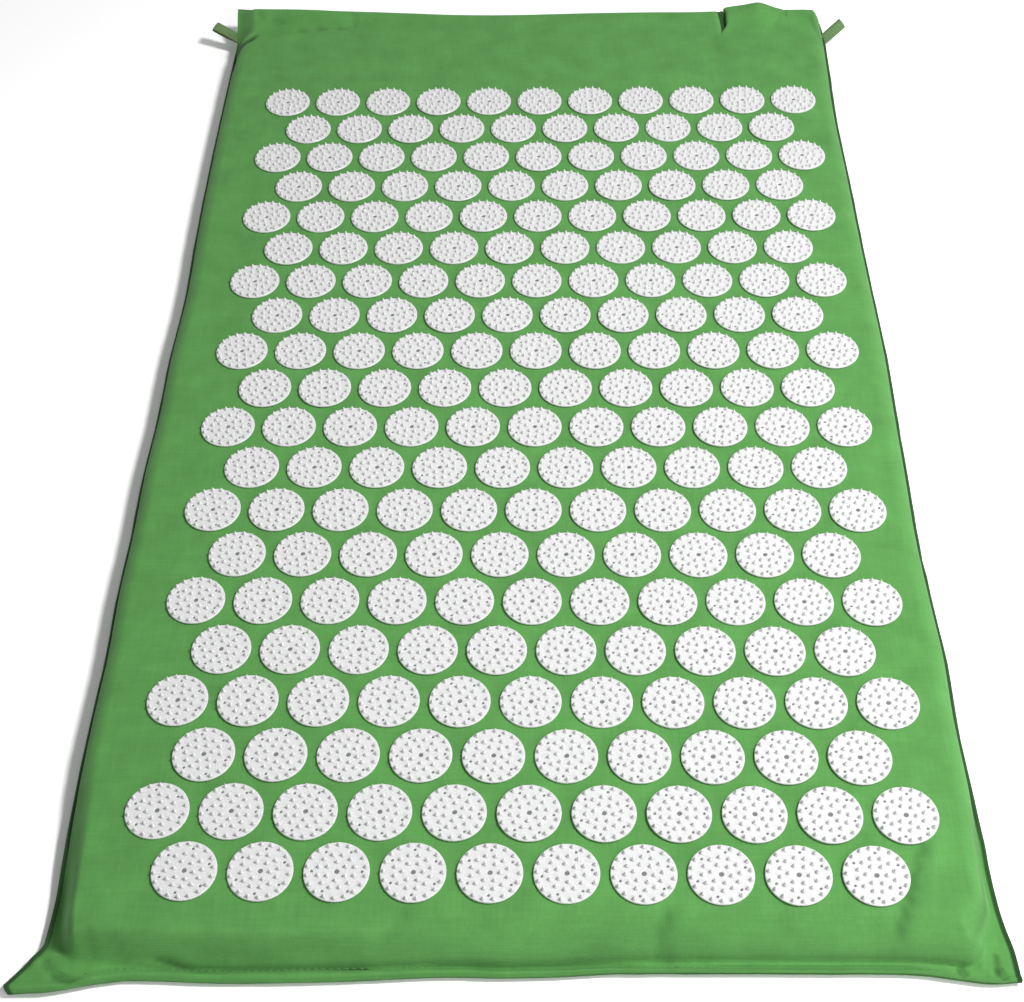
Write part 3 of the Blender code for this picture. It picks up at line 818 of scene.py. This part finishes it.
print("stage: foam pad")
facingShape = {   # inner face of the closure's facing: it sinks beside the slit and turns up at its end
    "below": 0.78 * mm, "sink": 1.7 * mm, "sinkInset": 2.0 * mm, "sinkWidth": 3.4 * mm, "sinkLength": 12 * mm,
    "endShare": 0.9, "endY": 0.358, "rise": 0.8 * mm, "riseY": 0.359, "fade": 6 * mm, "riseFade": 1.5 * mm,
    "leftLap": 2.5 * mm, "rightGap": 0.2 * mm, "nearGap": 0.5 * mm, "farY": 0.3700, "crumple": 0.08 * mm,
    # slit keys: share and band of the painted shade beside the slit
    "crumpleSize": 6 * mm, "slitShadeShare": 0.95, "slitWidth": 5 * mm, "slitFade": 4 * mm, "cells": (26, 28),
}


def facingHeight(x, y):
    shape, fromSlit = facingShape, x - closure["left"]
    low = seamHeight(x, y) + coverShape["seamGap"]
    high = coverShape["topHeight"] - coverShape["clothThickness"] + farRise(x, y)
    along = smooth((y - closure["hingeY"]) / shape["sinkLength"])
    along *= 1 - shape["endShare"] * smooth((y - shape["endY"]) / shape["fade"])
    sink = shape["sink"] * bell(fromSlit - shape["sinkInset"], shape["sinkWidth"]) * along
    rise = shape["rise"] * smooth(fromSlit / shape["riseFade"]) * smooth((y - shape["riseY"]) / shape["fade"])
    return low + (high - low) * shoulderShare(x, y) - sink + rise - shape["below"]


padShape = {"width": 0.405, "length": 0.725, "low": 0.9 * mm, "high": 18.9 * mm, "centreY": 4.5 * mm,
            "corner": 18 * mm, "edge": 8.5 * mm, "room": 0.9 * mm, "under": 0.8 * mm, "around": 2 * mm,
            "opening": 3.4 * mm, "thinnest": 0.4 * mm, "drawIn": 0.997, "mouthSides": 3 * mm,
            "mouthNear": 4 * mm, "mouthRoom": 0.5 * mm, "across": (0.86, 34), "along": (0.87, 56)}


def overCorner(x, y):
    # How far a point of the slab lies past the start of its rounded corners
    return (max(abs(x) - padShape["width"] / 2 + padShape["corner"], 0),
            max(abs(y) - padShape["length"] / 2 + padShape["corner"], 0))


def foamPoint(u, v, isTop):
    # Shares from -1 to 1 become a point on a rounded slab that stays inside the cover
    halfX, halfY = padShape["width"] / 2, padShape["length"] / 2
    x, y = u * halfX, v * halfY
    cornerX, cornerY = overCorner(x, y)
    if cornerX > 0 and cornerY > 0:
        pull = 1 - max(cornerX, cornerY) / hypot(cornerX, cornerY)
        x -= pull * cornerX * (1 if x > 0 else -1)
        y -= pull * cornerY * (1 if y > 0 else -1)
    cornerX, cornerY = overCorner(x, y)
    depth = padShape["corner"] - hypot(cornerX, cornerY)
    depth = min(depth, halfX - abs(x), halfY - abs(y)) if min(cornerX, cornerY) <= 0 else depth
    middle, half = (padShape["low"] + padShape["high"]) / 2, (padShape["high"] - padShape["low"]) / 2
    reach = half - padShape["edge"] + padShape["edge"] * quarterRound(depth / padShape["edge"])
    y += padShape["centreY"]
    for _ in range(12):
        if topSurface(x, y) - bottomSurface(x, y) > padShape["opening"]:
            break
        x, y = x * padShape["drawIn"], y * padShape["drawIn"]
    steps = (-padShape["around"], 0, padShape["around"])
    around = [(x + dx, y + dy) for dx in steps for dy in steps]
    roof = min(topSurface(*place) for place in around) - padShape["room"]
    ground = max(bottomSurface(*place) for place in around) + padShape["under"]
    besideMouth = closure["left"] - padShape["mouthSides"] < x < closure["right"] + padShape["mouthSides"]
    if besideMouth and y > closure["hingeY"] - padShape["mouthNear"]:
        roof = min(roof, facingHeight(x, y) - padShape["mouthRoom"])
    upper, lower = min(middle + reach, roof), max(middle - reach, ground)
    if upper - lower < padShape["thinnest"]:
        middle = (topSurface(x, y) + bottomSurface(x, y)) / 2
        upper, lower = middle + padShape["thinnest"] / 2, middle - padShape["thinnest"] / 2
    return (x, y, upper if isTop else lower)


def makeFoamPad():
    # Rows and columns that crowd towards the rounded edge, even between the inner shares
    (innerX, cellsX), (innerY, cellsY) = padShape["across"], padShape["along"]
    edge = [-1, -0.995, -0.985, -0.97, -0.955, -0.935, -0.915, -0.89]
    columns = edge + spread(-innerX, innerX, cellsX) + [-share for share in reversed(edge)]
    rows = edge + spread(-innerY, innerY, cellsY) + [-share for share in reversed(edge)]
    bm = bmesh.new()
    layers = []
    for isTop in (False, True):
        corners = [[bm.verts.new(foamPoint(u, v, isTop)) for u in columns] for v in rows]
        for a, b in zip(corners, corners[1:]):
            for k in range(len(columns) - 1):
                quad = (a[k], a[k + 1], b[k + 1], b[k])
                bm.faces.new(quad if isTop else tuple(reversed(quad)))
        rim = corners[0] + [row[-1] for row in corners[1:]] + corners[-1][-2::-1]
        layers.append(rim + [row[0] for row in corners[-2:0:-1]])
    low, high = layers
    for k in range(len(low)):
        after = (k + 1) % len(low)
        bm.faces.new((low[k], low[after], high[after], high[k]))
    return meshFrom("foamPad", bm)


foamPad = addPiece("foamPad", makeFoamPad(), foam)
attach(foamPad, "mat")
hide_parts("foam_pad")

print("stage: closure")
facingColumns = spread(closure["left"] - facingShape["leftLap"],
                       closure["right"] - facingShape["rightGap"], facingShape["cells"][0])
facingRows = spread(closure["hingeY"] + closure["lap"] + facingShape["nearGap"], facingShape["farY"],
                    facingShape["cells"][1])


def facingPlace(x, y):
    crumple = facingShape["crumple"] * rough(x, y, facingShape["crumpleSize"])
    return (x, y, facingHeight(x, y) + crumple)


facing = addPiece("closureFacing", gridMesh("closureFacing", facingColumns, facingRows, facingPlace), cotton)
# Painted shade on the facing inside the slit, darkest next to the slit's edge
slitShadeMask = facing.data.attributes.new("paintedShadeMask", "FLOAT", "POINT")
for vertex in facing.data.vertices:
    inside = smooth((vertex.co.x - closure["left"] - facingShape["slitWidth"]) / facingShape["slitFade"])
    slitShadeMask.data[vertex.index].value = facingShape["slitShadeShare"] * (1 - inside)
thicken(facing, coverShape["clothThickness"], 1)
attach(facing, "mat")
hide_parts("closure_facing")


flapShape = {   # cloth of the lip: its gap over the panel, its waves, its fold and the edges that tuck in
    "gap": 0.06 * mm, "flatY": 0.3560, "wave": 0.30 * mm, "waveSize": 9 * mm, "fold": 0.9 * mm,
    "foldX": 0.1725, "foldY": 0.352, "foldSlant": 0.4, "foldWidth": 2.6 * mm, "settleInset": 7 * mm,
    "settleFade": 9 * mm, "tuck": 0.16 * mm, "tuckInset": 1 * mm, "tuckFade": 2 * mm, "nearLap": 3 * mm,
    "leftGap": 0.2 * mm, "openLength": 10 * mm, "flareLength": 5 * mm, "curlStart": 4 * mm,
    "risePower": 1.3, "cells": (44, 34),
}


def flapSurface(x, y):
    # Upper face of the lip: flush with the panel at its hinge and right edge, lifted at its free end
    shape, hingeY, right = flapShape, closure["hingeY"], closure["right"]
    along = clamp((y - hingeY) / (closure["farY"] - hingeY))
    flat = topSurface(x, min(y, shape["flatY"])) + shape["gap"]
    lifted = flat + through(closure["lift"], x) * sin(pi / 2 * along) ** shape["risePower"]
    lifted += shape["wave"] * rough(x, y, shape["waveSize"], 12.0) * along
    fold = bell(x - shape["foldX"] - shape["foldSlant"] * (y - shape["foldY"]), shape["foldWidth"])
    lifted -= shape["fold"] * fold * smooth(along * 2) * smooth((1 - along) * 3)
    settle = smooth((x - right + shape["settleInset"]) / shape["settleFade"])
    tuck = smooth((x - right - shape["tuckInset"]) / shape["tuckFade"])
    tuck += smooth((hingeY - shape["tuckInset"] - y) / shape["tuckFade"])
    settled = topSurface(x, y) + shape["gap"]
    return lifted * (1 - settle) + settled * settle - shape["tuck"] * min(tuck, 1)


def flapPlace(across, lengthwise):
    shape, hingeY, farY = flapShape, closure["hingeY"], closure["farY"]
    y = hingeY - shape["nearLap"] + (farY - hingeY + shape["nearLap"]) * lengthwise
    left = closure["left"] + shape["leftGap"]
    left += closure["slitOpen"] * smooth((y - hingeY) / shape["openLength"])
    left -= closure["slitFlare"] * smooth((y - farY + shape["flareLength"]) / shape["flareLength"])
    x = left + (closure["right"] + closure["rightLap"] - left) * across
    curl = clamp(1 - (x - left) / closure["curlWidth"])
    curl *= smooth((y - hingeY - shape["curlStart"]) / shape["openLength"])
    return (x, y, flapSurface(x, y) - closure["curl"] * curl * curl)


flapColumns, flapRows = [spread(0, 1, cells) for cells in flapShape["cells"]]
flap = addPiece("closureFlap", gridMesh("closureFlap", flapColumns, flapRows, flapPlace), cotton)
thicken(flap, coverShape["clothThickness"], -1)
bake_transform(flap)
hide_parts("closure_flap")

tapeShape = {"left": 0.1412, "right": 0.16856, "near": 0.354, "far": 0.364, "thickness": 0.6 * mm,
             "above": 0.72 * mm, "cells": (24, 12)}


def makeTape(name, surface, offset, material):
    tapeColumns = spread(tapeShape["left"], tapeShape["right"], tapeShape["cells"][0])
    tapeRows = spread(tapeShape["near"], tapeShape["far"], tapeShape["cells"][1])
    mesh = gridMesh(name, tapeColumns, tapeRows, lambda x, y: (x, y, surface(x, y) + offset))
    tape = addPiece(name, mesh, material)
    thicken(tape, tapeShape["thickness"], 1 if offset > 0 else -1)
    return tape


hookTape = makeTape("hookTape", facingHeight, tapeShape["above"], hookCloth)
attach(hookTape, "mat")
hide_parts("hook_tape")
pileTape = makeTape("pileTape", flapSurface, -tapeShape["above"], pileCloth)
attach(pileTape, "flap")
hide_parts("pile_tape")

print("stage: hanging loops")
loopShape = {"length": 18.5 * mm, "width": 7 * mm, "thickness": 0.9 * mm, "tipRadius": 1.25 * mm,
             "y": 0.3495, "rootInside": 2.5 * mm, "rootGap": 0.5 * mm, "bulge": 0.75 * mm, "bulgeShare": 1.6,
             "wave": 0.25 * mm, "waveSize": 5 * mm, "hingeY": 0.349, "hingeZ": 0.0085,
             "bend": (0.2112, 0.2175), "edgeBulge": 1.03, "steps": 10, "tipSteps": 8}


def loopPath():
    # Middle line of the folded tape in its own plane: out along the lower layer, back along the upper one
    tip = loopShape["length"] - loopShape["tipRadius"] - loopShape["thickness"] / 2
    inside = loopShape["rootInside"]
    steps, tipSteps = spread(0, 1, loopShape["steps"]), loopShape["tipSteps"]
    lift = [loopShape["rootGap"] + loopShape["bulge"] * smooth(step * loopShape["bulgeShare"])
            for step in steps]
    points = [(-inside + step * (tip + inside), -high) for step, high in zip(steps, lift)]
    for k in range(1, tipSteps):
        angle = -pi / 2 + pi * k / tipSteps
        points.append((tip + loopShape["tipRadius"] * cos(angle), loopShape["tipRadius"] * sin(angle)))
    return points + [(x, -z) for x, z in reversed(points[:len(steps)])]


def makeLoop(name, side, plan):
    path = loopPath()
    half, thick = loopShape["width"] / 2, loopShape["thickness"] / 2
    upper = [(-half, 0.5), (-half * 0.5, 0.9), (0, 1.0), (half * 0.5, 0.9), (half, 0.5)]
    lower = [(-w, -s) for w, s in upper]
    edge = half * loopShape["edgeBulge"]
    section = [lower[-1], (-edge, 0.0), *upper, (edge, 0.0), *lower[:-1]]
    bm = bmesh.new()
    rings = []
    for k, (px, pz) in enumerate(path):
        ax, az = path[max(k - 1, 0)]
        bx, bz = path[min(k + 1, len(path) - 1)]
        turn = atan2(bz - az, bx - ax)
        shift = loopShape["wave"] * rough(px, pz, loopShape["waveSize"], 20.0 + side)
        rings.append([bm.verts.new((px - sin(turn) * (s * thick), w, pz + cos(turn) * (s * thick) + shift))
                      for w, s in section])
    count = len(section)
    for a, b in zip(rings, rings[1:]):
        for k in range(count):
            bm.faces.new((a[k], a[(k + 1) % count], b[(k + 1) % count], b[k]))
    bm.faces.new(rings[0])
    bm.faces.new(list(reversed(rings[-1])))
    bmesh.ops.recalc_face_normals(bm, faces=bm.faces[:])
    roll = Matrix.Rotation(plan["roll"], 4, "X")
    tilt = Matrix.Rotation(-plan["tilt"], 4, "Y")
    yaw = Matrix.Rotation(plan["yaw"] if side > 0 else pi - plan["yaw"], 4, "Z")
    root = Matrix.Translation((side * plan["rootX"], loopShape["y"], plan["rootZ"]))
    bmesh.ops.transform(bm, matrix=root @ yaw @ tilt @ roll, verts=bm.verts[:])
    loop = addPiece(name, meshFrom(name, bm), tapeCloth)
    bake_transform(loop)
    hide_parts("hanging_loop_left" if side < 0 else "hanging_loop_right")


makeLoop("hangingLoopLeft", -1, {"yaw": radians(23), "roll": radians(-14), "tilt": radians(17),
                                 "rootX": 0.2120, "rootZ": 11.3 * mm})
makeLoop("hangingLoopRight", 1, {"yaw": radians(26), "roll": radians(72), "tilt": radians(33),
                                 "rootX": 0.2067, "rootZ": 6.2 * mm})

print("stage: topstitching")
stitch = {"length": 2.6 * mm, "pitch": 3.3 * mm, "radius": 0.26 * mm, "reach": 0.186, "sunk": 0.02 * mm,
          "bow": 0.9, "sides": 6}


def makeStitches():
    bm = bmesh.new()
    x = -stitch["reach"]
    while x < stitch["reach"]:
        y = nearOutline(x) + through(hem["inset"], x)
        z = topSurface(x, y) - stitch["sunk"]
        turn = Matrix.Rotation(pi / 2, 4, "Y")
        made = bmesh.ops.create_cone(bm, cap_ends=True, segments=stitch["sides"], radius1=stitch["radius"],
                                     radius2=stitch["radius"], depth=stitch["length"],
                                     matrix=Matrix.Translation((x, y, z)) @ turn)
        for vertex in made["verts"]:
            vertex.co.z -= stitch["bow"] * ((vertex.co.x - x) / stitch["length"]) ** 2 * 2 * stitch["radius"]
        x += stitch["pitch"]
    return meshFrom("nearStitching", bm)


stitching = addPiece("nearStitching", makeStitches(), threadCloth)
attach(stitching, "mat")
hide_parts("near_edge_stitching")

print("stage: spike discs")
field = {"rows": 20, "longRow": 11, "pitch": 34 * mm, "rowPitch": 30.6 * mm, "nearY": -0.325, "shift": 6 * mm,
         "bottom": 20.1 * mm, "seed": 41}
discShape = {
    "radius": 14.8 * mm, "base": 1.2 * mm, "rim": 0.3 * mm, "centreHole": 1.45 * mm,
    "smallHole": 0.95 * mm, "smallHoleRing": 11.2 * mm, "smallHoles": 6, "spikeHeight": 2.3 * mm,
    "spikeRadius": 1.18 * mm, "spikeTip": 0.22 * mm, "spikeSides": 8, "spikeRoot": 0.3 * mm,
    "glueDepth": 0.55 * mm, "glueBelow": 0.25 * mm, "glueInset": 1.0 * mm, "sharpAngle": radians(30),
    "spikeAngle": radians(50), "outerSides": 40, "centreSides": 10, "smallSides": 8, "glueSides": 24,
    "rings": [(18, 13.25 * mm), (12, 8.3 * mm), (6, 4.6 * mm)],   # spikes and radius of each ring
}


def discBase():
    # A round plate with one hole in the middle and six small ones, from a filled outline
    outline = bpy.data.curves.new("disc outline", "CURVE")
    outline.dimensions = "2D"
    outline.fill_mode = "BOTH"
    outline.extrude = discShape["base"] / 2 - discShape["rim"]
    outline.bevel_depth = discShape["rim"]
    outline.bevel_resolution = 0
    circles = [(0, 0, discShape["radius"] - discShape["rim"], discShape["outerSides"]),
               (0, 0, discShape["centreHole"], discShape["centreSides"])]
    for k in range(discShape["smallHoles"]):
        angle = tau * k / discShape["smallHoles"]
        circles.append((discShape["smallHoleRing"] * cos(angle), discShape["smallHoleRing"] * sin(angle),
                        discShape["smallHole"], discShape["smallSides"]))
    for cx, cy, radius, count in circles:
        spline = outline.splines.new("POLY")
        spline.points.add(count - 1)
        for k, point in enumerate(spline.points):
            point.co = (cx + radius * cos(tau * k / count), cy + radius * sin(tau * k / count), 0, 1)
        spline.use_cyclic_u = True
    guide = bpy.data.objects.new("disc outline", outline)
    scene.collection.objects.link(guide)
    bpy.context.view_layer.update()
    mesh = bpy.data.meshes.new_from_object(guide.evaluated_get(bpy.context.evaluated_depsgraph_get()))
    bpy.data.objects.remove(guide)
    return mesh


def sharpen(edges, limit):
    for edge in edges:
        edge.smooth = not (len(edge.link_faces) == 2 and edge.calc_face_angle() > limit)


def addCone(bm, sides, radii, depth, matrix, angle):
    made = bmesh.ops.create_cone(bm, cap_ends=True, segments=sides, radius1=radii[0], radius2=radii[1],
                                 depth=depth, matrix=matrix)
    sharpen({edge for vertex in made["verts"] for edge in vertex.link_edges}, angle)
    return made["verts"]


def addSpikes(bm):
    height = discShape["spikeHeight"] + discShape["spikeRoot"]
    z = discShape["base"] / 2 + height / 2 - discShape["spikeRoot"]
    for count, ring in discShape["rings"]:
        for k in range(count):
            angle = tau * (k + 0.5) / count
            place = Matrix.Translation((ring * cos(angle), ring * sin(angle), z))
            addCone(bm, discShape["spikeSides"], (discShape["spikeRadius"], discShape["spikeTip"]), height,
                    place @ Matrix.Rotation(angle, 4, "Z"), discShape["spikeAngle"])


def addGlue(bm):
    # The glue film reaches up into the holes, inside the plate everywhere else
    low = -discShape["base"] / 2 - discShape["glueBelow"]
    high = discShape["base"] / 2 - discShape["glueDepth"]
    radius = discShape["radius"] - discShape["glueInset"]
    middle = Matrix.Translation((0, 0, (low + high) / 2))
    corners = addCone(bm, discShape["glueSides"], (radius, radius), high - low, middle,
                      discShape["sharpAngle"])
    for face in {face for vertex in corners for face in vertex.link_faces}:
        face.material_index = 1


def makeDisc():
    bm = bmesh.new()
    bm.from_mesh(discBase())
    bmesh.ops.remove_doubles(bm, verts=bm.verts[:], dist=0.01 * mm)
    bmesh.ops.recalc_face_normals(bm, faces=bm.faces[:])
    sharpen(bm.edges, discShape["sharpAngle"])
    addSpikes(bm)
    addGlue(bm)
    return meshFrom("spikeDisc", bm)


discMesh = makeDisc()
discTurns = random.Random(field["seed"])


def makeDiscRow(index):
    discs = field["longRow"] - (index + 1) % 2
    y = field["nearY"] + index * field["rowPitch"]
    firstX = field["shift"] - (discs - 1) * field["pitch"] / 2
    bm = bmesh.new()
    for k in range(discs):
        count = len(bm.verts)
        bm.from_mesh(discMesh)
        bm.verts.ensure_lookup_table()
        place = Matrix.Translation((firstX + k * field["pitch"], y, field["bottom"] + discShape["base"] / 2))
        turn = Matrix.Rotation(discTurns.uniform(0, tau), 4, "Z")
        bmesh.ops.transform(bm, matrix=place @ turn, verts=bm.verts[count:])
    name = f"discRow{index + 1:02d}"
    row = addPiece(name, meshFrom(name, bm), plastic)
    row.data.materials.append(glue)
    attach(row, "mat")
    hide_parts(f"disc_row_{index + 1:02d}")


for index in range(field["rows"]):
    makeDiscRow(index)
bpy.data.meshes.remove(discMesh)

print("stage: floor, light and camera")
light = {   # the floor's own tone and the one that is seen, and how far from the mat its shadows show
    "world": 0.26, "floor": 0.90, "floorSeen": 1.40, "shadowReach": 0.50, "shadowFade": 2.5, "floorSize": 6,
    "floorDrop": 0.25 * mm,
    "lamps": [("key", 16.2, 0.24, (0.73, -0.22, 1.12)), ("fill", 6.6, 1.00, (0.90, -1.10, 0.80))],
}


def seenRay(tree):
    # 1 for rays from the camera and for those that a gloss or glass sends on, otherwise 0
    path = tree.nodes.new("ShaderNodeLightPath")
    return calc(tree, "MAXIMUM", path.outputs["Is Camera Ray"],
                calc(tree, "MAXIMUM", path.outputs["Is Glossy Ray"], path.outputs["Is Transmission Ray"]))


def whenSeen(tree, seen, usual, shown):
    return calc(tree, "ADD", calc(tree, "MULTIPLY", seen, shown - usual), usual)


def addFloor():
    material = bpy.data.materials.new("pale floor")
    material.use_nodes = True
    tree = material.node_tree
    tree.nodes.remove(tree.nodes["Principled BSDF"])
    matte = tree.nodes.new("ShaderNodeBsdfDiffuse")
    seen = seenRay(tree)
    tree.links.new(whenSeen(tree, seen, light["floor"], light["floorSeen"]), matte.inputs["Color"])
    # Away from the mat the floor is plain white
    reach = tree.nodes.new("ShaderNodeVectorMath")
    reach.operation = "LENGTH"
    tree.links.new(objectPlace(tree), reach.inputs[0])
    fade, near = light["shadowFade"], light["shadowReach"]
    away = remap(tree, reach.outputs["Value"], -fade * near, fade * (1 - near))
    share = calc(tree, "MULTIPLY", seen, away)
    share.node.use_clamp = True
    glow = tree.nodes.new("ShaderNodeEmission")
    both = tree.nodes.new("ShaderNodeMixShader")
    tree.links.new(share, both.inputs[0])
    tree.links.new(matte.outputs[0], both.inputs[1])
    tree.links.new(glow.outputs[0], both.inputs[2])
    tree.links.new(both.outputs[0], tree.nodes["Material Output"].inputs["Surface"])
    bm = bmesh.new()
    bmesh.ops.create_grid(bm, x_segments=4, y_segments=4, size=light["floorSize"])
    floor = addPiece("floor", meshFrom("floor", bm), material)
    floor.location.z = -light["floorDrop"]


def addWorld():
    world = bpy.data.worlds.new("white studio")
    scene.world = world
    world.use_nodes = True
    tree = world.node_tree
    back = tree.nodes["Background"]
    back.inputs["Color"].default_value = (1, 1, 1, 1)
    tree.links.new(whenSeen(tree, seenRay(tree), light["world"], 1.0), back.inputs["Strength"])


def addLamp(name, watts, size, place):
    lamp = bpy.data.lights.new(name, "AREA")
    lamp.shape = "DISK"
    lamp.size = size
    lamp.energy = watts
    holder = bpy.data.objects.new(name, lamp)
    scene.collection.objects.link(holder)
    holder.location = place
    holder.rotation_euler = (-Vector(place)).to_track_quat("-Z", "Y").to_euler()


photoView = {"focal": 58.90, "sensor": 36, "nearest": 0.01, "place": (0.01954, -0.69563, 0.68220),
             "degrees": (41.804, 1.170, 1.115)}


def addCamera():
    lens = bpy.data.cameras.new("photo camera")
    lens.lens = photoView["focal"]
    lens.sensor_width = photoView["sensor"]
    lens.clip_start = photoView["nearest"]
    camera = bpy.data.objects.new("photo camera", lens)
    scene.collection.objects.link(camera)
    camera.location = photoView["place"]
    camera.rotation_euler = [radians(angle) for angle in photoView["degrees"]]
    scene.camera = camera


addFloor()
addWorld()
for lampPlan in light["lamps"]:
    addLamp(*lampPlan)
addCamera()
scene.view_settings.view_transform = "Standard"

print("stage: finish")
